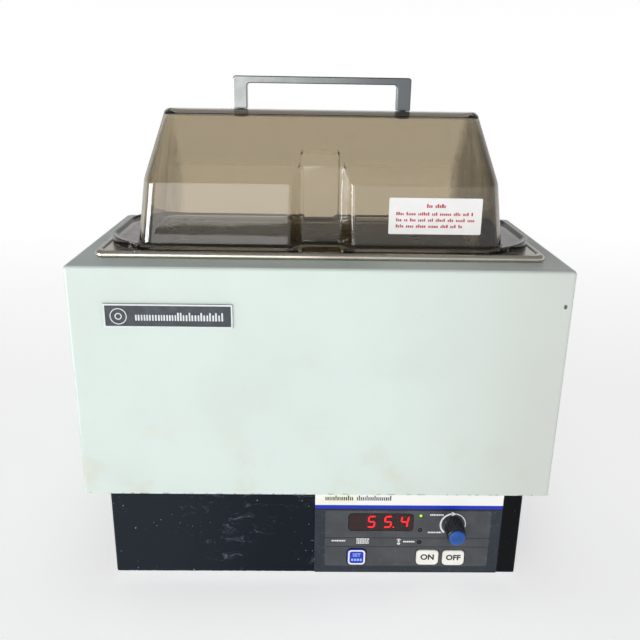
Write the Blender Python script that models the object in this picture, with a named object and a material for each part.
"""Benchtop heated water bath with a gabled lift-off cover, built as separate named parts.

Metres, +Z up, +X to the right of someone who faces the control panel, front at -Y.
The origin is on the bench, in the middle of the object's bounding box.
"""

import math

import bmesh
import bpy

MM = 0.001

# Upper housing: a painted sheet-metal box, open where the tank drops in.
HOUSING_WIDTH = 360.0 * MM
HOUSING_DEPTH = 193.2 * MM
HOUSING_HEIGHT = 180.4 * MM
HOUSING_SHEET = 1.2 * MM
HOUSING_CORNER = 3.0 * MM
HOUSING_TOP_EDGE = 2.4 * MM
FLOOR_RIM = 10.0 * MM

# Base: a narrower painted box under the housing, on four rubber feet.
BASE_HEIGHT = 75.3 * MM
BASE_SIDE_INSET = 18.1 * MM
BASE_FRONT_INSET = 5.5 * MM
BASE_SHEET = 1.5 * MM
BASE_CORNER = 2.0 * MM
FOOT_HEIGHT = 8.0 * MM
FOOT_RADIUS = 9.0 * MM
FOOT_STEM_RADIUS = 3.0 * MM
FOOT_INSET = 34.0 * MM
SIDE_SCREW_RISE = 57.0 * MM
SIDE_SCREW_INSET = 22.0 * MM
SIDE_SCREW_SHANK = 1.8 * MM
SIDE_SCREW_HEAD = (3.6 * MM, 2.4 * MM)
SIDE_SCREW_BITE = 3.0 * MM
TAB_DROP = 27.0 * MM
TAB_END_MARGIN = 7.0 * MM
FOOT_EDGE = 1.2 * MM
FOOT_BARB_HEIGHT = 3.0 * MM
VENT_SLOT = (3.0 * MM, 24.0 * MM)
VENT_PITCH = 12.0 * MM
VENT_START = 60.0 * MM
VENT_COLUMNS = 7
WIRING_HOLE_RADIUS = 14.0 * MM

# Stainless tank, with a beaded rim that stands on the housing's top.
RIM_END_MARGIN = 15.0 * MM
RIM_SIDE_MARGIN = 23.6 * MM
RIM_CORNER = 8.0 * MM
RIM_RISE = 5.0 * MM
RIM_EDGE = 1.8 * MM
BEAD_WIDTH = 3.2 * MM
BEAD_RISE = 1.0 * MM
BEAD_EDGE = 1.6 * MM
LEDGE_END = 17.0 * MM
LEDGE_SIDE = 13.0 * MM
TANK_SHEET = 1.0 * MM
TANK_CORNER = 25.0 * MM
TANK_BOTTOM_RADIUS = 14.0 * MM
MOUTH_RADIUS = 3.0 * MM
UNDER_TANK_SPACE = 40.4 * MM
TANK_HOLE_CLEARANCE = 7.0 * MM

# Heating and insulation under and around the tank.
HEATER_THICKNESS = 1.5 * MM
HEATER_MARGIN = 22.0 * MM
HEATER_CORNER = 8.0 * MM
PAD_THICKNESS = 15.0 * MM
PAD_MARGIN = 6.0 * MM
WRAP_THICKNESS = 20.0 * MM
WRAP_TOP_SPACE = 4.0 * MM
SENSOR_SPACING = 90.0 * MM
SENSOR_ROOM = 4.0 * MM
THERMOSTAT_RADIUS = 8.0 * MM
THERMOSTAT_HEIGHT = 10.0 * MM
PROBE_RADIUS = 2.5 * MM
PROBE_LENGTH = 40.0 * MM

# Perforated shelf that keeps vessels off the heated floor.
SHELF_HEIGHT = 20.0 * MM
SHELF_SHEET = 1.0 * MM
SHELF_END_CLEARANCE = 16.0 * MM
SHELF_SIDE_CLEARANCE = 8.0 * MM
SHELF_LEG_INSET = 8.0 * MM
SHELF_HOLE_RADIUS = 6.5 * MM
SHELF_COLUMNS = 7
SHELF_ROWS = 3
SHELF_HOLE_SPAN = (0.84, 0.625)

# Tinted gabled cover: flange, drafted wall, crease, sloping roof and a flat ridge.
COVER_SHEET = 2.5 * MM
COVER_END_CLEARANCE = 0.8 * MM
COVER_SIDE_CLEARANCE = 2.3 * MM
COVER_FLANGE_END = 24.0 * MM
COVER_FLANGE_SIDE = 6.5 * MM
COVER_FLANGE_THICKNESS = 3.3 * MM
COVER_FLANGE_CORNER = 42.0 * MM
COVER_WALL_CORNER = 14.0 * MM
COVER_WALL_HEIGHT = 49.7 * MM
COVER_HEIGHT = 97.7 * MM
COVER_END_DRAFT = 6.5 * MM
COVER_SIDE_DRAFT = 2.0 * MM
ROOF_END_LEAN = 9.0 * MM
RIDGE_HALF_DEPTH = 14.0 * MM
RIDGE_ROUND = 4.0 * MM
NOTCH_BACK_WIDTH = 30.0 * MM
NOTCH_FRONT_WIDTH = 46.0 * MM
NOTCH_DEPTH = 13.6 * MM
NOTCH_SLOT_WIDTH = 27.0 * MM
LABEL_WIDTH = 68.1 * MM
LABEL_HEIGHT = 26.5 * MM
LABEL_THICKNESS = 0.3 * MM
LABEL_RISE = 26.7 * MM
LABEL_END_MARGIN = 19.8 * MM

# Handle on the ridge: a metal bow with wide legs and a slim grip.
HANDLE_WIDTH = 136.0 * MM
HANDLE_HEIGHT = 24.0 * MM
HANDLE_DEPTH = 10.0 * MM
HANDLE_LEG = 10.6 * MM
HANDLE_BAR = 5.3 * MM
HANDLE_CORNER = 2.2 * MM
HANDLE_SCREW_RADIUS = 1.9 * MM
HANDLE_SCREW_GRIP = 9.0 * MM
HANDLE_HEAD_RADIUS = 4.0 * MM
HANDLE_HEAD_HEIGHT = 3.2 * MM
WASHER_RADIUS = 5.0 * MM
WASHER_THICKNESS = 1.2 * MM

# Nameplate on the housing's front.
PLATE_WIDTH = 91.4 * MM
PLATE_HEIGHT = 17.8 * MM
PLATE_THICKNESS = 1.2 * MM
PLATE_FRAME = 0.8 * MM
PLATE_SIDE_MARGIN = 26.2 * MM
PLATE_TOP_MARGIN = 26.5 * MM

# Control panel. Its places are measured from the fascia's lower left corner.
FASCIA_WIDTH = 148.4 * MM
FASCIA_SIDE_MARGIN = 15.5 * MM
FASCIA_THICKNESS = 0.8 * MM
WINDOW_SIZE = (52.0 * MM, 16.4 * MM)
WINDOW_CORNER = 3.0 * MM
WINDOW_PLACE = (52.5 * MM, 47.5 * MM)
DISPLAY_SIZE = (50.3 * MM, 19.0 * MM)
DISPLAY_DEPTH = 8.0 * MM
LAMP_RADIUS = 1.5 * MM
LAMP_TIP = 0.5 * MM
LAMP_PLACES = {
    "heating_lamp": (84.0 * MM, 53.6 * MM),
    "setpoint_lamp": (84.0 * MM, 40.5 * MM),
    "alarm_lamp": (84.0 * MM, 29.2 * MM),
}
KEY_CORNER = 3.4 * MM
KEY_RISE = 1.3 * MM
KEY_TRAVEL = 0.8 * MM
KEY_LIP = 1.4 * MM
KEY_LIP_THICKNESS = 1.0 * MM
KEYS = {
    "set_key": ((34.0 * MM, 15.3 * MM), (14.8 * MM, 14.7 * MM)),
    "on_key": ((91.2 * MM, 15.2 * MM), (18.0 * MM, 13.9 * MM)),
    "off_key": ((112.2 * MM, 14.9 * MM), (17.7 * MM, 13.9 * MM)),
}
KNOB_PLACE = (110.0 * MM, 45.8 * MM)
KNOB_REACH = 20.8 * MM
KNOB_RADIUS = 8.0 * MM
KNOB_FRONT_RADIUS = 7.2 * MM
KNOB_CAP_RADIUS = 6.3 * MM
KNOB_CAP_THICKNESS = 2.4 * MM
KNOB_FLUTES = 18
KNOB_STANDOFF = 1.0 * MM
SHAFT_RADIUS = 3.0 * MM
BUSHING_RADIUS = 4.5 * MM
BUSHING_REACH = 5.4 * MM
NUT_FLATS = 5.5 * MM
NUT_THICKNESS = 2.0 * MM
ENCODER_SIZE = 12.0 * MM
SWITCH_SIZE = 6.0 * MM
SWITCH_HEIGHT = 3.6 * MM
BOARD_THICKNESS = 1.6 * MM
BOARD_WIDTH = 130.0 * MM
BOARD_HEIGHT = 64.0 * MM
BOARD_PLACE = (74.0 * MM, 37.0 * MM)
KNOB_SKIRT = 1.5 * MM
KNOB_FLUTE_DEPTH = 0.45 * MM
KNOB_SEAT_DEPTH = 1.0 * MM
KNOB_SHAFT_CAP = 3.0 * MM
STANDOFF_INSET = 5.0 * MM
STANDOFF_RADIUS = 2.9 * MM

# Power parts inside the base, and the mains inlet at its rear.
POWER_BOARD_SIZE = (120.0 * MM, 90.0 * MM)
POWER_BOARD_PLACE = (-70.0 * MM, 10.0 * MM)
PILLAR_HEIGHT = 5.0 * MM
TRANSFORMER_SIZE = (46.0 * MM, 38.0 * MM, 36.0 * MM)
TRANSFORMER_OFFSET = -28.0 * MM
RELAY_SIZE = (28.0 * MM, 24.0 * MM, 22.0 * MM)
RELAY_OFFSET = (32.0 * MM, 18.0 * MM)
INLET_PLACE = (-104.0 * MM, 34.0 * MM)
INLET_FLANGE = (50.0 * MM, 24.0 * MM)
INLET_FLANGE_THICKNESS = 3.0 * MM
INLET_BODY = (28.0 * MM, 20.6 * MM)
INLET_DEPTH = 18.0 * MM
INLET_CAVITY = (24.4 * MM, 17.2 * MM)
INLET_CAVITY_DEPTH = 15.0 * MM
INLET_SCREW_SPACING = 40.0 * MM
INLET_SCREW_SHANK = 1.5 * MM
INLET_SCREW_HEAD = (2.8 * MM, 1.7 * MM)
INLET_SCREW_BITE = 5.0 * MM
INLET_PIN_SIZE = (2.0 * MM, 4.0 * MM)
INLET_PIN_LENGTH = 22.0 * MM
INLET_PINS = {
    "inlet_pin_live": (-7.0 * MM, -2.0 * MM),
    "inlet_pin_earth": (0.0, 2.0 * MM),
    "inlet_pin_neutral": (7.0 * MM, -2.0 * MM),
}

# Fits and mesh fineness.
GAP = 0.3 * MM
RUNNING_FIT = 0.08 * MM
SCREW_CLEARANCE = 0.4 * MM
SCREW_DOME = ((1.0, 0.45), (0.8, 0.85), (0.4, 1.0))
CUT_MARGIN = 1.0 * MM
SHARP = 1.0 * MM
CORNER_STEPS = 5
ROUND_STEPS = 16
SMOOTH_ANGLE = math.radians(32)

# Heights above the bench.
Z_BASE = FOOT_HEIGHT
Z_HOUSING = Z_BASE + BASE_HEIGHT
Z_TOP = Z_HOUSING + HOUSING_HEIGHT
Z_RIM = Z_TOP + RIM_RISE
Z_LEDGE = Z_RIM - BEAD_RISE
Z_COVER = Z_LEDGE + GAP
Z_BATH_FLOOR = Z_HOUSING + UNDER_TANK_SPACE
Z_UNDER_TANK = Z_BATH_FLOOR - TANK_SHEET - GAP

# Half sizes in plan, as (half width, half depth).
HOUSING_HALF = (HOUSING_WIDTH / 2, HOUSING_DEPTH / 2)
BASE_HALF = (HOUSING_HALF[0] - BASE_SIDE_INSET, HOUSING_HALF[1] - BASE_FRONT_INSET)
RIM_HALF = (HOUSING_HALF[0] - RIM_END_MARGIN, HOUSING_HALF[1] - RIM_SIDE_MARGIN)
MOUTH_HALF = (RIM_HALF[0] - LEDGE_END, RIM_HALF[1] - LEDGE_SIDE)
COVER_HALF = (
    RIM_HALF[0] - BEAD_WIDTH - COVER_END_CLEARANCE,
    RIM_HALF[1] - BEAD_WIDTH - COVER_SIDE_CLEARANCE,
)
COVER_FOOT = (COVER_HALF[0] - COVER_FLANGE_END, COVER_HALF[1] - COVER_FLANGE_SIDE)
COVER_CREASE = (COVER_FOOT[0] - COVER_END_DRAFT, COVER_FOOT[1] - COVER_SIDE_DRAFT)

# Depths behind the base's front face, counted outwards.
WALL_BACK = -BASE_SHEET
FASCIA_FRONT = GAP + FASCIA_THICKNESS
BOARD_FRONT = -DISPLAY_DEPTH - GAP
INLET_FLANGE_FRONT = GAP + INLET_FLANGE_THICKNESS

# The root is moved so that the bounding box, knob included, is centred on the origin.
FRONT_REACH = max(HOUSING_HALF[1], BASE_HALF[1] + KNOB_REACH)
INLET_REACH = INLET_FLANGE_FRONT + GAP + INLET_SCREW_HEAD[1]
REAR_REACH = max(HOUSING_HALF[1], BASE_HALF[1] + INLET_REACH)
ROOT_SHIFT = (FRONT_REACH - REAR_REACH) / 2

# Name: (sRGB hex colour, roughness, metallic, opacity).
FINISHES = {
    "pale_paint": ("dfe6e3", 0.45, 0.0, 1.0),
    "dark_paint": ("262a32", 0.50, 0.0, 1.0),
    "stainless": ("b9b4aa", 0.28, 1.0, 1.0),
    "zinc_steel": ("b8babd", 0.35, 1.0, 1.0),
    "aluminium": ("b4b7b6", 0.35, 1.0, 1.0),
    "brass": ("b99a55", 0.35, 1.0, 1.0),
    "smoke_plastic": ("8f8264", 0.08, 0.0, 0.45),
    "label_white": ("f2f1ee", 0.55, 0.0, 1.0),
    "brown_plastic": ("35221a", 0.25, 0.0, 1.0),
    "plate_grey": ("4a4d50", 0.40, 0.0, 1.0),
    "fascia_slate": ("43484e", 0.50, 0.0, 1.0),
    "display_red": ("3a0a0c", 0.12, 0.0, 0.6),
    "black_plastic": ("17181a", 0.40, 0.0, 1.0),
    "lamp_green": ("2f8a3c", 0.20, 0.0, 1.0),
    "lamp_dark": ("3b1414", 0.20, 0.0, 1.0),
    "key_blue": ("1040d0", 0.40, 0.0, 1.0),
    "key_white": ("eceef0", 0.40, 0.0, 1.0),
    "cap_blue": ("1b6fc0", 0.35, 0.0, 1.0),
    "rubber": ("1c1c1d", 0.80, 0.0, 1.0),
    "gasket_black": ("151516", 0.70, 0.0, 1.0),
    "glass_wool": ("d9c98a", 0.95, 0.0, 1.0),
    "heater_orange": ("b5502a", 0.60, 0.0, 1.0),
    "board_green": ("1d5a38", 0.45, 0.0, 1.0),
    "winding_yellow": ("c8a23a", 0.50, 0.0, 1.0),
}


# ---------------------------------------------------------------- shapes


def arc(centre, radius, start, end, steps):
    """Points along an arc about a centre, from one angle in degrees to another."""
    points = []
    for step in range(steps + 1):
        angle = math.radians(start + (end - start) * step / steps)
        points.append((centre[0] + radius * math.cos(angle), centre[1] + radius * math.sin(angle)))
    return points


def rounded_rectangle(half, radius, steps=CORNER_STEPS):
    """Anticlockwise outline of a rectangle about the origin, with round corners."""
    radius = min(radius, half[0] - SHARP / 10, half[1] - SHARP / 10)
    points = []
    for turn, (side_x, side_y) in enumerate(((1, 1), (-1, 1), (-1, -1), (1, -1))):
        centre = (side_x * (half[0] - radius), side_y * (half[1] - radius))
        points += arc(centre, radius, 90 * turn, 90 * turn + 90, steps)
    return points


def circle(radius, steps=ROUND_STEPS):
    return arc((0, 0), radius, 0, 360, steps)[:-1]


def shifted(outline, place):
    return [(x + place[0], y + place[1]) for x, y in outline]


def raised(outline, height):
    return [(x, y, height) for x, y in outline]


def level(half, radius, height):
    """A rounded rectangle lifted to a height."""
    return raised(rounded_rectangle(half, radius), height)


def inset(half, amount):
    return (half[0] - amount, half[1] - amount)


def loft(rings, closed=False, mesh=None):
    """A body through rings of equally many points: capped at both ends, or closed on itself."""
    mesh = mesh or bmesh.new()
    rows = [[mesh.verts.new(point) for point in ring] for ring in rings]
    pairs = list(zip(rows, rows[1:]))
    if closed:
        pairs.append((rows[-1], rows[0]))
    for lower, upper in pairs:
        for i in range(len(lower)):
            j = (i + 1) % len(lower)
            mesh.faces.new((lower[i], lower[j], upper[j], upper[i]))
    if not closed:
        mesh.faces.new(list(reversed(rows[0])))
        mesh.faces.new(rows[-1])
    bmesh.ops.recalc_face_normals(mesh, faces=mesh.faces)
    return mesh


def prism(outline, low, high, mesh=None):
    return loft([raised(outline, low), raised(outline, high)], mesh=mesh)


def block(size, low, high, place=(0, 0), corner=0.4 * MM, mesh=None):
    """An upright block with slightly rounded corners."""
    outline = rounded_rectangle((size[0] / 2, size[1] / 2), corner, steps=1)
    return prism(shifted(outline, place), low, high, mesh)


def turned(profile, steps=ROUND_STEPS, closed=False):
    """A body of revolution about Z from (radius, height) pairs."""
    return loft([raised(circle(radius, steps), height) for radius, height in profile], closed)


def drill(radius, low, high, steps=ROUND_STEPS):
    """A cutter for a round hole from one height to another, a margin longer at both ends."""
    return turned([(radius, low - CUT_MARGIN), (radius, high + CUT_MARGIN)], steps)


# ---------------------------------------------------------------- objects


def linear(hex_colour):
    """Linear RGB of an sRGB hex colour."""
    values = []
    for start in (0, 2, 4):
        share = int(hex_colour[start : start + 2], 16) / 255
        values.append(share / 12.92 if share <= 0.04045 else ((share + 0.055) / 1.055) ** 2.4)
    return values


def finish(name):
    """The material of that name, made at its first use."""
    material = bpy.data.materials.get(name)
    if material:
        return material
    colour, roughness, metallic, opacity = FINISHES[name]
    material = bpy.data.materials.new(name)
    material.use_nodes = True
    shader = material.node_tree.nodes["Principled BSDF"]
    shader.inputs["Base Color"].default_value = (*linear(colour), 1.0)
    shader.inputs["Roughness"].default_value = roughness
    shader.inputs["Metallic"].default_value = metallic
    shader.inputs["Alpha"].default_value = opacity
    material.diffuse_color = (*linear(colour), opacity)
    return material


def add(name, mesh, parent, material=None, at=(0, 0, 0), turn=(0, 0, 0)):
    """An object from a bmesh, placed under its parent."""
    data = bpy.data.meshes.new(name)
    mesh.to_mesh(data)
    mesh.free()
    data.shade_smooth()
    data.set_sharp_from_angle(angle=SMOOTH_ANGLE)
    if material:
        data.materials.append(finish(material))
    body = bpy.data.objects.new(name, data)
    bpy.context.scene.collection.objects.link(body)
    body.parent = parent
    body.location = at
    body.rotation_euler = turn
    return body


def anchor(name, parent=None, at=(0, 0, 0), turn=(0, 0, 0)):
    """An empty that holds a group of pieces, on its joint's axis where it moves."""
    empty = bpy.data.objects.new(name, None)
    bpy.context.scene.collection.objects.link(empty)
    empty.parent = parent
    empty.location = at
    empty.rotation_euler = turn
    return empty


def combine(body, tool, operation):
    """A Boolean with a helper object, which is then left out of the render."""
    step = body.modifiers.new(tool.name, "BOOLEAN")
    step.operation = operation
    step.solver = "EXACT"
    step.object = tool
    tool.hide_render = True
    tool.display_type = "WIRE"


def cut(body, name, mesh, parent, at=(0, 0, 0), turn=(0, 0, 0)):
    combine(body, add(name, mesh, parent, at=at, turn=turn), "DIFFERENCE")


def screw(name, parent, at, turn, head, shank, material):
    """A pan-head screw along Z with its head on its origin; head and shank are (radius, length)."""
    profile = [(shank[0], -shank[1]), (shank[0], 0), (head[0], 0)]
    for width, height in SCREW_DOME:
        profile.append((head[0] * width, head[1] * height))
    return add(name, turned(profile, steps=12), parent, material, at, turn)


# ---------------------------------------------------------------- housing and base


def make_housing(root):
    """A painted box without a floor, open above where the tank hangs through."""
    hole = (MOUTH_HALF[0] + TANK_HOLE_CLEARANCE, MOUTH_HALF[1] + TANK_HOLE_CLEARANCE)
    hole_corner = TANK_CORNER + TANK_HOLE_CLEARANCE - TANK_SHEET
    rings = [level(HOUSING_HALF, HOUSING_CORNER, Z_HOUSING)]
    for drop, lift in arc((0, 0), HOUSING_TOP_EDGE, 0, 90, 3):
        shape = inset(HOUSING_HALF, HOUSING_TOP_EDGE - drop)
        rings.append(level(shape, HOUSING_CORNER, Z_TOP - HOUSING_TOP_EDGE + lift))
    rings.append(level(hole, hole_corner, Z_TOP))
    rings.append(level(hole, hole_corner, Z_TOP - HOUSING_SHEET))
    inner = inset(HOUSING_HALF, HOUSING_SHEET)
    rings.append(level(inset(inner, HOUSING_TOP_EDGE / 2), HOUSING_CORNER, Z_TOP - HOUSING_SHEET))
    rings.append(level(inner, HOUSING_CORNER, Z_TOP - HOUSING_SHEET - HOUSING_TOP_EDGE / 2))
    rings.append(level(inner, HOUSING_CORNER, Z_HOUSING))
    add("housing_shell", loft(rings, closed=True), root, "pale_paint")


def make_housing_floor(root):
    """A pan that closes the housing from below, with tabs down into the base for its screws."""
    outer = inset(HOUSING_HALF, HOUSING_SHEET + GAP)
    inner = inset(outer, HOUSING_SHEET)
    rim_top = Z_HOUSING + FLOOR_RIM
    rings = [
        level(outer, HOUSING_CORNER, Z_HOUSING),
        level(outer, HOUSING_CORNER, rim_top),
        level(inner, HOUSING_CORNER, rim_top),
        level(inner, HOUSING_CORNER, Z_HOUSING + HOUSING_SHEET),
    ]
    pan = add("housing_floor", loft(rings), root, "zinc_steel")
    tabs = bmesh.new()
    tab_place = BASE_HALF[0] - BASE_SHEET - GAP - HOUSING_SHEET / 2
    tab_size = (HOUSING_SHEET, 2 * (BASE_HALF[1] - SIDE_SCREW_INSET + TAB_END_MARGIN))
    tab_top = Z_HOUSING + HOUSING_SHEET / 2
    for side in (-1, 1):
        block(tab_size, Z_HOUSING - TAB_DROP, tab_top, (side * tab_place, 0), mesh=tabs)
    combine(pan, add("floor_tabs", tabs, root), "UNION")
    cut(pan, "wiring_hole", drill(WIRING_HOLE_RADIUS, 0, HOUSING_SHEET), root, at=(0, 0, Z_HOUSING))
    return pan


def make_base(root):
    """Four painted walls, open at the top under the housing and closed below by the bottom plate."""
    wall_top = Z_HOUSING - GAP
    inner = inset(BASE_HALF, BASE_SHEET)
    rings = [
        level(BASE_HALF, BASE_CORNER, Z_BASE),
        level(BASE_HALF, BASE_CORNER, wall_top),
        level(inner, BASE_CORNER, wall_top),
        level(inner, BASE_CORNER, Z_BASE),
    ]
    return add("base_chassis", loft(rings, closed=True), root, "dark_paint")


def make_side_screws(root, base, pan):
    """Four screws through the base's sides into the floor's tabs."""
    reach = BASE_SHEET + GAP + HOUSING_SHEET + SIDE_SCREW_BITE
    bore = SIDE_SCREW_SHANK + SCREW_CLEARANCE
    shank = (SIDE_SCREW_SHANK, reach + GAP)
    y = BASE_HALF[1] - SIDE_SCREW_INSET
    z = Z_BASE + SIDE_SCREW_RISE
    for side, side_name in ((-1, "left"), (1, "right")):
        for end, end_name in ((-1, "front"), (1, "rear")):
            at = (side * BASE_HALF[0], end * y, z)
            turn = (0, side * math.pi / 2, 0)
            name = f"side_screw_{side_name}_{end_name}"
            for body in (base, pan):
                hole = drill(bore, -2 * reach, 0, steps=12)
                cut(body, f"{name}_{body.name}_hole", hole, root, at, turn)
            head_at = (at[0] + side * GAP, at[1], at[2])
            screw(name, root, head_at, turn, SIDE_SCREW_HEAD, shank, "zinc_steel")


def make_bottom_plate(root):
    """The vented plate that closes the base, with pressed pillars under the power board."""
    plate_half = inset(BASE_HALF, BASE_SHEET + GAP)
    top = Z_BASE + HOUSING_SHEET
    sheet = prism(rounded_rectangle(plate_half, BASE_CORNER), Z_BASE, top)
    plate = add("base_bottom_plate", sheet, root, "zinc_steel")
    pillars = bmesh.new()
    pillar_low = top - HOUSING_SHEET / 2
    for place in board_corners(POWER_BOARD_SIZE, POWER_BOARD_PLACE, STANDOFF_INSET):
        pillar = shifted(circle(STANDOFF_RADIUS, 12), place)
        prism(pillar, pillar_low, top + PILLAR_HEIGHT, pillars)
    combine(plate, add("plate_pillars", pillars, root), "UNION")
    slots = bmesh.new()
    for row in (-1, 1):
        for column in range(VENT_COLUMNS):
            place = (VENT_START + column * VENT_PITCH, row * VENT_SLOT[1])
            block(VENT_SLOT, Z_BASE - CUT_MARGIN, top + CUT_MARGIN, place, mesh=slots)
    cut(plate, "plate_slots", slots, root)
    return plate


def make_feet(root, plate):
    """Rubber feet whose stems snap through the bottom plate."""
    top = FOOT_HEIGHT - GAP
    above_plate = FOOT_HEIGHT + HOUSING_SHEET + GAP
    stem = FOOT_STEM_RADIUS
    profile = [
        (FOOT_RADIUS - FOOT_EDGE, 0),
        (FOOT_RADIUS - FOOT_EDGE / 2, FOOT_EDGE),
        (FOOT_RADIUS, top),
        (stem, top),
        (stem, above_plate),
        (stem + FOOT_EDGE, above_plate),
        (stem - FOOT_EDGE / 2, above_plate + FOOT_BARB_HEIGHT),
    ]
    for side, side_name in ((-1, "left"), (1, "right")):
        for end, end_name in ((-1, "front"), (1, "rear")):
            at = (side * (BASE_HALF[0] - FOOT_INSET), end * (BASE_HALF[1] - FOOT_INSET), 0)
            name = f"foot_{end_name}_{side_name}"
            hole = drill(stem + GAP, 0, HOUSING_SHEET)
            cut(plate, f"{name}_hole", hole, root, at=(at[0], at[1], Z_BASE))
            add(name, turned(profile), root, "rubber", at)


def make_nameplate(root):
    """A grey plate with a raised frame, on the housing's front."""
    half = (PLATE_WIDTH / 2, PLATE_HEIGHT / 2)
    corner = 0.6 * MM
    rings = [
        level(half, corner, GAP),
        level(half, corner, GAP + PLATE_THICKNESS),
        level(inset(half, PLATE_FRAME), corner, GAP + PLATE_THICKNESS),
        level(inset(half, PLATE_FRAME), corner, GAP + PLATE_THICKNESS * 0.7),
    ]
    at = (
        -HOUSING_HALF[0] + PLATE_SIDE_MARGIN + half[0],
        -HOUSING_HALF[1],
        Z_TOP - PLATE_TOP_MARGIN - half[1],
    )
    add("nameplate", loft(rings), root, "plate_grey", at, (math.pi / 2, 0, 0))


# ---------------------------------------------------------------- tank, heating and shelf


def make_tank(root):
    """A drawn tank: the inside from floor to mouth, the ledge and bead, then back down the outside."""
    floor_half = inset(MOUTH_HALF, TANK_BOTTOM_RADIUS)
    corner = TANK_CORNER - TANK_BOTTOM_RADIUS
    rings = []
    for reach, lift in arc((0, 0), TANK_BOTTOM_RADIUS, -90, 0, 4):
        height = Z_BATH_FLOOR + TANK_BOTTOM_RADIUS + lift
        rings.append(level(inset(floor_half, -reach), corner + reach, height))
    mouth_low = Z_LEDGE - MOUTH_RADIUS
    for reach, lift in arc((0, 0), MOUTH_RADIUS, 180, 90, 3):
        rings.append(level(inset(MOUTH_HALF, -MOUTH_RADIUS - reach), TANK_CORNER, mouth_low + lift))
    rings.append(level(inset(RIM_HALF, BEAD_WIDTH), RIM_CORNER, Z_LEDGE))
    rings.append(level(inset(RIM_HALF, BEAD_WIDTH - BEAD_RISE), RIM_CORNER, Z_RIM))
    for reach, lift in arc((0, 0), BEAD_EDGE, 90, 0, 3):
        rings.append(level(inset(RIM_HALF, BEAD_EDGE - reach), RIM_CORNER, Z_RIM - BEAD_EDGE + lift))
    rings.append(level(RIM_HALF, RIM_CORNER, Z_TOP + RIM_EDGE))
    rings.append(level(inset(RIM_HALF, TANK_SHEET), RIM_CORNER, Z_TOP + RIM_EDGE))
    rings.append(level(inset(RIM_HALF, TANK_SHEET), RIM_CORNER, Z_LEDGE - TANK_SHEET))
    outer = inset(MOUTH_HALF, -TANK_SHEET)
    rings.append(level(inset(outer, -MOUTH_RADIUS), TANK_CORNER, Z_LEDGE - TANK_SHEET))
    rings.append(level(outer, TANK_CORNER, mouth_low - TANK_SHEET))
    for reach, lift in arc((0, 0), TANK_BOTTOM_RADIUS + TANK_SHEET, 0, -90, 4):
        height = Z_BATH_FLOOR + TANK_BOTTOM_RADIUS + lift
        rings.append(level(inset(floor_half, -reach), corner + reach, height))
    add("bath_tank", loft(rings), root, "stainless")


def ring_body(outer, inner, outer_corner, inner_corner, low, high):
    """An upright frame between two rounded rectangles."""
    rings = [
        level(outer, outer_corner, low),
        level(outer, outer_corner, high),
        level(inner, inner_corner, high),
        level(inner, inner_corner, low),
    ]
    return loft(rings, closed=True)


def make_tank_seals(root):
    """The gasket under the tank's rim and the glass-wool wrap round its walls."""
    gasket_outer = inset(RIM_HALF, TANK_SHEET + GAP)
    gasket_inner = inset(MOUTH_HALF, -TANK_HOLE_CLEARANCE - GAP)
    gasket_top = Z_LEDGE - TANK_SHEET - GAP
    gasket = ring_body(gasket_outer, gasket_inner, RIM_CORNER, TANK_CORNER, Z_TOP + GAP, gasket_top)
    add("tank_gasket", gasket, root, "gasket_black")
    wrap_inner = inset(MOUTH_HALF, -TANK_SHEET - 2 * GAP)
    wrap_outer = inset(wrap_inner, -WRAP_THICKNESS)
    wrap_top = Z_TOP - HOUSING_SHEET - WRAP_TOP_SPACE
    wrap_low = Z_BATH_FLOOR + TANK_BOTTOM_RADIUS
    wrap_corner = TANK_CORNER + WRAP_THICKNESS
    wrap = ring_body(wrap_outer, wrap_inner, wrap_corner, TANK_CORNER, wrap_low, wrap_top)
    add("tank_insulation_wrap", wrap, root, "glass_wool")


def make_heater(root):
    """Heater mat, insulation pad, overheat thermostat and temperature probe under the tank's floor."""
    heater_half = inset(MOUTH_HALF, HEATER_MARGIN)
    heater_low = Z_UNDER_TANK - HEATER_THICKNESS
    mat = prism(rounded_rectangle(heater_half, HEATER_CORNER), heater_low, Z_UNDER_TANK)
    add("heater_mat", mat, root, "heater_orange")
    pad_top = heater_low - GAP
    pad_outline = rounded_rectangle(inset(MOUTH_HALF, PAD_MARGIN), TANK_BOTTOM_RADIUS)
    wool = prism(pad_outline, pad_top - PAD_THICKNESS, pad_top)
    pad = add("bottom_insulation_pad", wool, root, "glass_wool")
    thermostat_at = (-SENSOR_SPACING / 2, 0, pad_top)
    probe_at = (SENSOR_SPACING / 2, 0, pad_top)
    pocket = drill(THERMOSTAT_RADIUS + CUT_MARGIN, -PAD_THICKNESS, 0)
    cut(pad, "thermostat_pocket", pocket, root, thermostat_at)
    slot_size = (PROBE_LENGTH + SENSOR_ROOM, 2 * PROBE_RADIUS + SENSOR_ROOM)
    slot = block(slot_size, -PAD_THICKNESS - CUT_MARGIN, CUT_MARGIN)
    cut(pad, "probe_pocket", slot, root, probe_at)
    thermostat = [
        (THERMOSTAT_RADIUS, 0),
        (THERMOSTAT_RADIUS, -THERMOSTAT_HEIGHT * 0.45),
        (THERMOSTAT_RADIUS * 0.8, -THERMOSTAT_HEIGHT * 0.5),
        (THERMOSTAT_RADIUS * 0.8, -THERMOSTAT_HEIGHT),
    ]
    add("overheat_thermostat", turned(thermostat), root, "black_plastic", thermostat_at)
    tip = PROBE_RADIUS / 2
    probe = turned([(tip, 0), (PROBE_RADIUS, tip), (PROBE_RADIUS, PROBE_LENGTH)], steps=14)
    probe_start = (probe_at[0] - PROBE_LENGTH / 2, 0, pad_top - PROBE_RADIUS)
    add("temperature_probe", probe, root, "stainless", probe_start, (0, math.pi / 2, 0))


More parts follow.
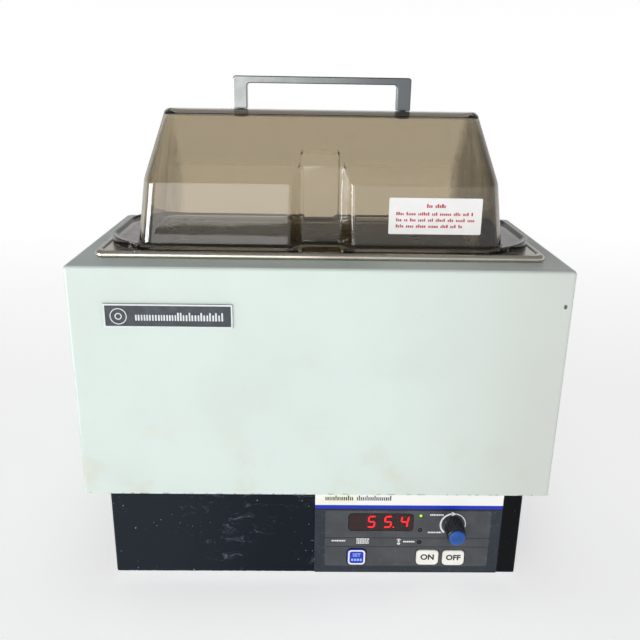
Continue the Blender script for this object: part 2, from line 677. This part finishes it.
def make_shelf(root):
    """A perforated tray on two folded legs; its anchor is on the bath's middle line."""
    lift = anchor("shelf_lift", root, at=(0, 0, Z_BATH_FLOOR + GAP))
    half = (MOUTH_HALF[0] - SHELF_END_CLEARANCE, MOUTH_HALF[1] - SHELF_SIDE_CLEARANCE)
    leg_half_depth = half[1] - SHELF_LEG_INSET
    leg_top = SHELF_HEIGHT - SHELF_SHEET / 2
    deck = prism(rounded_rectangle(half, 1.5 * MM), SHELF_HEIGHT - SHELF_SHEET, SHELF_HEIGHT)
    shelf = add("diffuser_shelf", deck, lift, "stainless")
    legs = bmesh.new()
    for side in (-1, 1):
        place = (side * (half[0] - SHELF_SHEET), 0)
        block((SHELF_SHEET, 2 * leg_half_depth), 0, leg_top, place, mesh=legs)
    combine(shelf, add("shelf_legs", legs, lift), "UNION")
    holes = bmesh.new()
    for column in range(SHELF_COLUMNS):
        for row in range(SHELF_ROWS):
            share_x = 2 * column / (SHELF_COLUMNS - 1) - 1
            share_y = 2 * row / (SHELF_ROWS - 1) - 1
            place = (share_x * SHELF_HOLE_SPAN[0] * half[0], share_y * SHELF_HOLE_SPAN[1] * half[1])
            outline = shifted(circle(SHELF_HOLE_RADIUS, 10), place)
            prism(outline, SHELF_HEIGHT - 3 * SHELF_SHEET, SHELF_HEIGHT + CUT_MARGIN, holes)
    cut(shelf, "shelf_holes", holes, lift)


# ---------------------------------------------------------------- cover


def cover_skin(thickness, low):
    """The gabled form, or the one that lies a sheet's thickness inside it."""
    run = COVER_CREASE[1] - RIDGE_HALF_DEPTH
    rise = COVER_HEIGHT - COVER_WALL_HEIGHT
    slope = run / rise
    roof_thickness = thickness * math.hypot(1, slope)
    crease = COVER_WALL_HEIGHT - (roof_thickness - thickness) / slope
    top = COVER_HEIGHT - thickness
    corner = max(COVER_WALL_CORNER - thickness, 2 * MM)
    rings = [level(inset(COVER_FOOT, thickness), corner, low)]
    rings.append(level(inset(COVER_CREASE, thickness), corner, crease))
    bend = top - RIDGE_ROUND
    lean = ROOF_END_LEAN / (bend - crease)
    for reach, lift in arc((0, 0), RIDGE_ROUND, 0, 90, 4):
        height = bend + lift
        half_x = COVER_CREASE[0] - thickness - lean * (bend - crease) - (RIDGE_ROUND - reach)
        half_y = COVER_CREASE[1] - (height - COVER_WALL_HEIGHT) * slope - roof_thickness
        rings.append(level((half_x, half_y), corner, height))
    return loft(rings)


def notch(side, thickness, low, high):
    """The upright recess in a long wall, or the one a sheet's thickness behind it."""
    wall = COVER_FOOT[1] + 2 * COVER_SHEET
    back = COVER_FOOT[1] - NOTCH_DEPTH - thickness
    splay = (NOTCH_FRONT_WIDTH - NOTCH_BACK_WIDTH) / 2 / NOTCH_DEPTH
    back_half = NOTCH_BACK_WIDTH / 2 + thickness * (math.hypot(1, splay) - splay)
    front_half = back_half + splay * (wall - back)
    outline = [(-front_half, -wall), (front_half, -wall), (back_half, -back), (-back_half, -back)]
    return prism([(side * x, side * y) for x, y in outline], low, high)


def make_cover(root):
    """The tinted shell; its anchor is on the bath's middle line, at the cover's underside."""
    lift = anchor("cover_lift", root, at=(0, 0, Z_COVER))
    shell = add("cover_shell", cover_skin(0, COVER_FLANGE_THICKNESS / 2), lift, "smoke_plastic")
    hollow = add("cover_hollow", cover_skin(COVER_SHEET, -CUT_MARGIN), lift)
    for side, name in ((1, "front"), (-1, "rear")):
        top = COVER_HEIGHT + CUT_MARGIN
        cut(shell, f"{name}_notch", notch(side, 0, -CUT_MARGIN, top), lift)
        cut(hollow, f"{name}_notch_wall", notch(side, COVER_SHEET, -2 * CUT_MARGIN, top), lift)
    flange = prism(rounded_rectangle(COVER_HALF, COVER_FLANGE_CORNER, 8), 0, COVER_FLANGE_THICKNESS)
    combine(shell, add("cover_flange", flange, lift), "UNION")
    combine(shell, hollow, "DIFFERENCE")
    slots = bmesh.new()
    slot_depth = COVER_HALF[1] - COVER_FOOT[1] + NOTCH_DEPTH
    for side in (-1, 1):
        place = (0, side * (COVER_FOOT[1] - NOTCH_DEPTH + slot_depth / 2 + CUT_MARGIN))
        size = (NOTCH_SLOT_WIDTH, slot_depth + 2 * CUT_MARGIN)
        block(size, -CUT_MARGIN, COVER_FLANGE_THICKNESS + CUT_MARGIN, place, mesh=slots)
    cut(shell, "flange_slots", slots, lift)
    make_cover_label(lift)
    make_handle(lift, shell)


def make_cover_label(lift):
    """A thin plate on the front wall, square to its draft."""
    draft = math.atan2(COVER_SIDE_DRAFT, COVER_WALL_HEIGHT)
    wall_y = COVER_FOOT[1] - COVER_SIDE_DRAFT * LABEL_RISE / COVER_WALL_HEIGHT
    at = (COVER_FOOT[0] - LABEL_END_MARGIN - LABEL_WIDTH / 2, -wall_y - GAP, LABEL_RISE)
    outline = rounded_rectangle((LABEL_WIDTH / 2, LABEL_HEIGHT / 2), 0.8 * MM, 2)
    plate = prism(outline, 0, LABEL_THICKNESS)
    add("cover_label", plate, lift, "label_white", at, (math.pi / 2 - draft, 0, 0))


def handle_outline():
    """The bow seen from the front: outer corners rounded, inner corners a little."""
    half = HANDLE_WIDTH / 2
    outer = [(half, 0)]
    outer += arc((half - HANDLE_CORNER, HANDLE_HEIGHT - HANDLE_CORNER), HANDLE_CORNER, 0, 90, 3)
    inner_half = half - HANDLE_LEG
    inner_top = HANDLE_HEIGHT - HANDLE_BAR
    inner = arc((inner_half - HANDLE_CORNER, inner_top - HANDLE_CORNER), HANDLE_CORNER, 90, 0, 3)
    inner.append((inner_half, 0))
    right = outer
    left = [(-x, y) for x, y in reversed(outer)]
    return right + left + [(-x, y) for x, y in reversed(inner)] + inner


def make_handle(lift, shell):
    """The bow on the ridge, held from inside the cover by a screw and a washer at each leg."""
    foot = COVER_HEIGHT + GAP
    bow = prism(handle_outline(), -HANDLE_DEPTH / 2, HANDLE_DEPTH / 2)
    handle = add("cover_handle", bow, lift, "aluminium", (0, 0, foot), (math.pi / 2, 0, 0))
    hole = HANDLE_SCREW_RADIUS + GAP
    under = COVER_HEIGHT - COVER_SHEET - GAP
    for side, name in ((-1, "left"), (1, "right")):
        x = side * (HANDLE_WIDTH - HANDLE_LEG) / 2
        handle_bore = drill(hole, 0, HANDLE_SCREW_GRIP, steps=12)
        cut(handle, f"handle_bore_{name}", handle_bore, lift, at=(x, 0, foot))
        ridge_hole = drill(hole, 0, COVER_SHEET, steps=12)
        cut(shell, f"ridge_hole_{name}", ridge_hole, lift, at=(x, 0, COVER_HEIGHT - COVER_SHEET))
        section = [(WASHER_RADIUS, 0), (WASHER_RADIUS, WASHER_THICKNESS)]
        section += [(hole, WASHER_THICKNESS), (hole, 0)]
        washer = turned(section, closed=True)
        washer_low = under - WASHER_THICKNESS
        add(f"handle_washer_{name}", washer, lift, "brown_plastic", (x, 0, washer_low))
        head_at = (x, 0, washer_low - GAP)
        shank = (HANDLE_SCREW_RADIUS, foot + HANDLE_SCREW_GRIP - head_at[2])
        head = (HANDLE_HEAD_RADIUS, HANDLE_HEAD_HEIGHT)
        screw(f"handle_screw_{name}", lift, head_at, (math.pi, 0, 0), head, shank, "brown_plastic")


# ---------------------------------------------------------------- control panel


def board_corners(size, place, corner_inset):
    """The four fastening points of a board."""
    corners = []
    for side in (-1, 1):
        for end in (-1, 1):
            x = place[0] + side * (size[0] / 2 - corner_inset)
            corners.append((x, place[1] + end * (size[1] / 2 - corner_inset)))
    return corners


def cut_panel(bodies, name, outline, panel, place):
    """One opening through the base's wall and whatever else is listed."""
    for body in bodies:
        hole = prism(outline, WALL_BACK - CUT_MARGIN, FASCIA_FRONT + CUT_MARGIN)
        cut(body, f"{name}_{body.name}", hole, panel, at=(*place, 0))


def make_fascia(panel):
    half = (FASCIA_WIDTH / 2, (BASE_HEIGHT - 2 * GAP) / 2)
    outline = shifted(rounded_rectangle(half, 0.6 * MM, 1), (half[0], half[1] + GAP / 2))
    return add("control_fascia", prism(outline, GAP, FASCIA_FRONT), panel, "fascia_slate")


def make_display(panel, fascia, base):
    window_half = (WINDOW_SIZE[0] / 2, WINDOW_SIZE[1] / 2)
    cut_panel([fascia], "window_hole", rounded_rectangle(window_half, WINDOW_CORNER), panel, WINDOW_PLACE)
    module_half = (DISPLAY_SIZE[0] / 2, DISPLAY_SIZE[1] / 2)
    module_hole = rounded_rectangle(inset(module_half, -GAP), SHARP, 1)
    cut_panel([base], "display_hole", module_hole, panel, WINDOW_PLACE)
    window = prism(rounded_rectangle(inset(window_half, GAP), WINDOW_CORNER), GAP, FASCIA_FRONT)
    add("display_window", window, panel, "display_red", (*WINDOW_PLACE, 0))
    module = prism(rounded_rectangle(module_half, SHARP / 2, 1), -DISPLAY_DEPTH, 0)
    add("display_module", module, panel, "black_plastic", (*WINDOW_PLACE, 0))


def make_lamps(panel, fascia, base):
    """Indicator lamps that stand on the board and look out through the fascia."""
    radius = LAMP_RADIUS
    tip = FASCIA_FRONT + LAMP_TIP
    foot = BOARD_FRONT + GAP
    profile = [(radius + 0.4 * MM, foot), (radius + 0.4 * MM, foot + 1 * MM), (radius, foot + 1 * MM)]
    profile += [(reach, tip - radius + lift) for reach, lift in arc((0, 0), radius, 0, 75, 3)]
    for name, place in LAMP_PLACES.items():
        cut_panel([fascia, base], f"{name}_hole", circle(radius + GAP, 12), panel, place)
        colour = "lamp_green" if name == "heating_lamp" else "lamp_dark"
        add(name, turned(profile, steps=12), panel, colour, (*place, 0))


def make_keys(panel, fascia, base):
    """Push keys: a cap through the fascia, held in by a lip behind the base's wall, over a switch."""
    lip_front = WALL_BACK - GAP
    lip_back = lip_front - KEY_LIP_THICKNESS
    front = FASCIA_FRONT + KEY_RISE
    edge = 0.5 * MM
    colours = {"set_key": "key_blue", "on_key": "key_white", "off_key": "key_white"}
    for name, (place, size) in KEYS.items():
        half = (size[0] / 2, size[1] / 2)
        hole = rounded_rectangle(inset(half, -GAP), KEY_CORNER + GAP)
        cut_panel([fascia, base], f"{name}_hole", hole, panel, place)
        lip = inset(half, -KEY_LIP)
        rings = [
            level(lip, KEY_CORNER, lip_back),
            level(lip, KEY_CORNER, lip_front),
            level(half, KEY_CORNER, lip_front),
            level(half, KEY_CORNER, front - edge),
            level(inset(half, edge), KEY_CORNER, front),
        ]
        add(name, loft(rings), panel, colours[name], (*place, 0))
        switch_front = min(BOARD_FRONT + GAP + SWITCH_HEIGHT, lip_back - KEY_TRAVEL - GAP)
        switch = block((SWITCH_SIZE, SWITCH_SIZE), BOARD_FRONT + GAP, switch_front)
        add(name.replace("key", "switch"), switch, panel, "black_plastic", (*place, 0))


def fluted(radius, depth, height):
    """A ring of points that alternates between flute crests and hollows."""
    points = []
    count = 2 * KNOB_FLUTES
    for i in range(count):
        reach = radius - depth * (i % 2)
        angle = math.tau * i / count
        points.append((reach * math.cos(angle), reach * math.sin(angle), height))
    return points


def make_knob(panel, fascia, base):
    """A rotary encoder behind the panel, its nut and shaft, and the fluted knob on the shaft."""
    cut_panel([fascia, base], "bushing_hole", circle(BUSHING_RADIUS + GAP), panel, KNOB_PLACE)
    bore = SHAFT_RADIUS + RUNNING_FIT
    body_back = BOARD_FRONT + GAP
    body_front = WALL_BACK - GAP
    bushing_front = FASCIA_FRONT + BUSHING_REACH
    case = block((ENCODER_SIZE, ENCODER_SIZE), body_back, body_front)
    body = add("encoder_body", case, panel, "zinc_steel", (*KNOB_PLACE, 0))
    bushing = turned([(BUSHING_RADIUS, body_front - 1 * MM), (BUSHING_RADIUS, bushing_front)])
    combine(body, add("encoder_bushing", bushing, panel, at=(*KNOB_PLACE, 0)), "UNION")
    shaft_back = body_front - 2 * MM
    body_bore = turned([(bore, shaft_back - GAP), (bore, bushing_front + CUT_MARGIN)], steps=32)
    cut(body, "encoder_bore", body_bore, panel, at=(*KNOB_PLACE, 0))
    nut_low = FASCIA_FRONT + GAP
    nut_high = nut_low + NUT_THICKNESS
    nut_hole = BUSHING_RADIUS + GAP / 2
    corner = NUT_FLATS / math.cos(math.pi / 6)
    hexagon = circle(corner, 6)
    nut = add("encoder_nut", prism(hexagon, nut_low, nut_high), panel, "brass", (*KNOB_PLACE, 0))
    nut_bore = turned([(nut_hole, nut_low - CUT_MARGIN), (nut_hole, nut_high + CUT_MARGIN)])
    cut(nut, "nut_bore", nut_bore, panel, at=(*KNOB_PLACE, 0))

    turn = anchor("knob_turn", panel, at=(*KNOB_PLACE, 0))
    shaft_front = KNOB_REACH - KNOB_CAP_THICKNESS - KNOB_SHAFT_CAP
    shaft = turned([(SHAFT_RADIUS, shaft_back), (SHAFT_RADIUS, shaft_front)], steps=32)
    add("encoder_shaft", shaft, turn, "zinc_steel")
    skirt_back = FASCIA_FRONT + KNOB_STANDOFF
    seat = KNOB_REACH - KNOB_CAP_THICKNESS
    seat_radius = KNOB_CAP_RADIUS + GAP / 2
    hollow = corner + 0.5 * MM
    hollow_top = bushing_front + 0.6 * MM
    flute = KNOB_FLUTE_DEPTH
    count = 2 * KNOB_FLUTES
    rings = [
        raised(circle(SHAFT_RADIUS + GAP / 3, count), shaft_front + GAP),
        raised(circle(SHAFT_RADIUS + GAP / 3, count), hollow_top),
        raised(circle(hollow, count), hollow_top),
        raised(circle(hollow, count), skirt_back),
        fluted(KNOB_RADIUS, 0, skirt_back),
        fluted(KNOB_RADIUS, 0, skirt_back + KNOB_SKIRT),
        fluted(KNOB_RADIUS - GAP, flute, skirt_back + KNOB_SKIRT + flute),
        fluted(KNOB_FRONT_RADIUS + GAP, flute, seat - 2 * flute),
        fluted(KNOB_FRONT_RADIUS, 0, seat),
        raised(circle(seat_radius, count), seat),
        raised(circle(seat_radius, count), seat - KNOB_SEAT_DEPTH),
    ]
    add("knob_body", loft(rings), turn, "black_plastic")
    cap_low = seat - KNOB_SEAT_DEPTH + GAP
    cap = [(KNOB_CAP_RADIUS, cap_low), (KNOB_CAP_RADIUS, seat + 0.6 * MM)]
    cap += [(KNOB_CAP_RADIUS * 0.86, seat + 1.5 * MM), (KNOB_CAP_RADIUS * 0.5, KNOB_REACH - 0.2 * MM)]
    cap.append((KNOB_CAP_RADIUS * 0.15, KNOB_REACH))
    add("knob_cap", turned(cap, steps=24), turn, "cap_blue")


def make_control_board(panel):
    half = (BOARD_WIDTH / 2, BOARD_HEIGHT / 2)
    board = prism(rounded_rectangle(half, 1.5 * MM, 2), BOARD_FRONT - BOARD_THICKNESS, BOARD_FRONT)
    add("control_board", board, panel, "board_green", (*BOARD_PLACE, 0))
    names = ("lower_left", "upper_left", "lower_right", "upper_right")
    corners = board_corners((BOARD_WIDTH, BOARD_HEIGHT), BOARD_PLACE, STANDOFF_INSET)
    for name, place in zip(names, corners):
        pillar = prism(circle(STANDOFF_RADIUS, 6), BOARD_FRONT + GAP, WALL_BACK - GAP)
        add(f"board_standoff_{name}", pillar, panel, "brass", (*place, 0))


# ---------------------------------------------------------------- power parts


def make_power_parts(root):
    """The power board on the bottom plate's pillars, with its transformer and heater relay."""
    low = Z_BASE + HOUSING_SHEET + PILLAR_HEIGHT + GAP
    top = low + BOARD_THICKNESS
    add("power_board", block(POWER_BOARD_SIZE, low, top, POWER_BOARD_PLACE), root, "board_green")
    x, y = POWER_BOARD_PLACE
    seat = top + GAP
    core_place = (x + TRANSFORMER_OFFSET, y)
    core = block(TRANSFORMER_SIZE[:2], seat, seat + TRANSFORMER_SIZE[2], core_place)
    add("power_transformer", core, root, "winding_yellow")
    relay_place = (x + RELAY_OFFSET[0], y + RELAY_OFFSET[1])
    relay = block(RELAY_SIZE[:2], seat, seat + RELAY_SIZE[2], relay_place)
    add("heater_relay", relay, root, "black_plastic")


def make_inlet(rear, base):
    """A mains inlet in the base's rear wall: flange, socket body, three pins and two screws."""
    place = (*INLET_PLACE, 0)
    flange_half = (INLET_FLANGE[0] / 2, INLET_FLANGE[1] / 2)
    body_half = (INLET_BODY[0] / 2, INLET_BODY[1] / 2)
    cavity_half = (INLET_CAVITY[0] / 2, INLET_CAVITY[1] / 2)
    cavity_floor = INLET_FLANGE_FRONT - INLET_CAVITY_DEPTH
    back = -INLET_DEPTH
    hole_outline = rounded_rectangle(inset(body_half, -GAP), SHARP, 1)
    cut(base, "inlet_hole", prism(hole_outline, WALL_BACK - CUT_MARGIN, CUT_MARGIN), rear, place)
    rings = [
        level(body_half, SHARP, back),
        level(body_half, SHARP, GAP),
        level(flange_half, 2 * SHARP, GAP),
        level(flange_half, 2 * SHARP, INLET_FLANGE_FRONT),
        level(cavity_half, 2 * SHARP, INLET_FLANGE_FRONT),
        level(cavity_half, 2 * SHARP, cavity_floor),
    ]
    inlet = add("power_inlet", loft(rings), rear, "black_plastic", place)
    pin_slots = bmesh.new()
    slot_size = (INLET_PIN_SIZE[0] + GAP, INLET_PIN_SIZE[1] + GAP)
    for spot in INLET_PINS.values():
        block(slot_size, back - CUT_MARGIN, cavity_floor + CUT_MARGIN, spot, mesh=pin_slots)
    cut(inlet, "inlet_pin_slots", pin_slots, rear, place)
    pin_back = back - 5 * MM
    for name, spot in INLET_PINS.items():
        at = (place[0] + spot[0], place[1] + spot[1], 0)
        pin = block(INLET_PIN_SIZE, pin_back, pin_back + INLET_PIN_LENGTH, corner=0.3 * MM)
        add(name, pin, rear, "brass", at)
    bore = INLET_SCREW_SHANK + GAP
    shank = (INLET_SCREW_SHANK, INLET_FLANGE_FRONT + BASE_SHEET + INLET_SCREW_BITE)
    for side, name in ((-1, "left"), (1, "right")):
        at = (place[0] - side * INLET_SCREW_SPACING / 2, place[1], 0)
        for body in (base, inlet):
            hole = drill(bore, WALL_BACK, INLET_FLANGE_FRONT, steps=12)
            cut(body, f"inlet_screw_hole_{name}_{body.name}", hole, rear, at)
        head_at = (at[0], at[1], INLET_FLANGE_FRONT + GAP)
        screw(f"inlet_screw_{name}", rear, head_at, (0, 0, 0), INLET_SCREW_HEAD, shank, "zinc_steel")


# ---------------------------------------------------------------- assembly


def clear_scene():
    for body in list(bpy.data.objects):
        bpy.data.objects.remove(body, do_unlink=True)


def main():
    clear_scene()
    root = anchor("water_bath", at=(0, ROOT_SHIFT, 0))
    fascia_left = BASE_HALF[0] - FASCIA_SIDE_MARGIN - FASCIA_WIDTH
    panel = anchor("control_panel", root, (fascia_left, -BASE_HALF[1], Z_BASE), (math.pi / 2, 0, 0))
    rear = anchor("rear_panel", root, (0, BASE_HALF[1], Z_BASE), (math.pi / 2, 0, math.pi))

    make_housing(root)
    floor_pan = make_housing_floor(root)
    base = make_base(root)
    make_side_screws(root, base, floor_pan)
    make_feet(root, make_bottom_plate(root))
    make_nameplate(root)
    make_tank(root)
    make_tank_seals(root)
    make_heater(root)
    make_shelf(root)
    make_cover(root)

    fascia = make_fascia(panel)
    make_display(panel, fascia, base)
    make_lamps(panel, fascia, base)
    make_keys(panel, fascia, base)
    make_knob(panel, fascia, base)
    make_control_board(panel)
    make_power_parts(root)
    make_inlet(rear, base)


main()
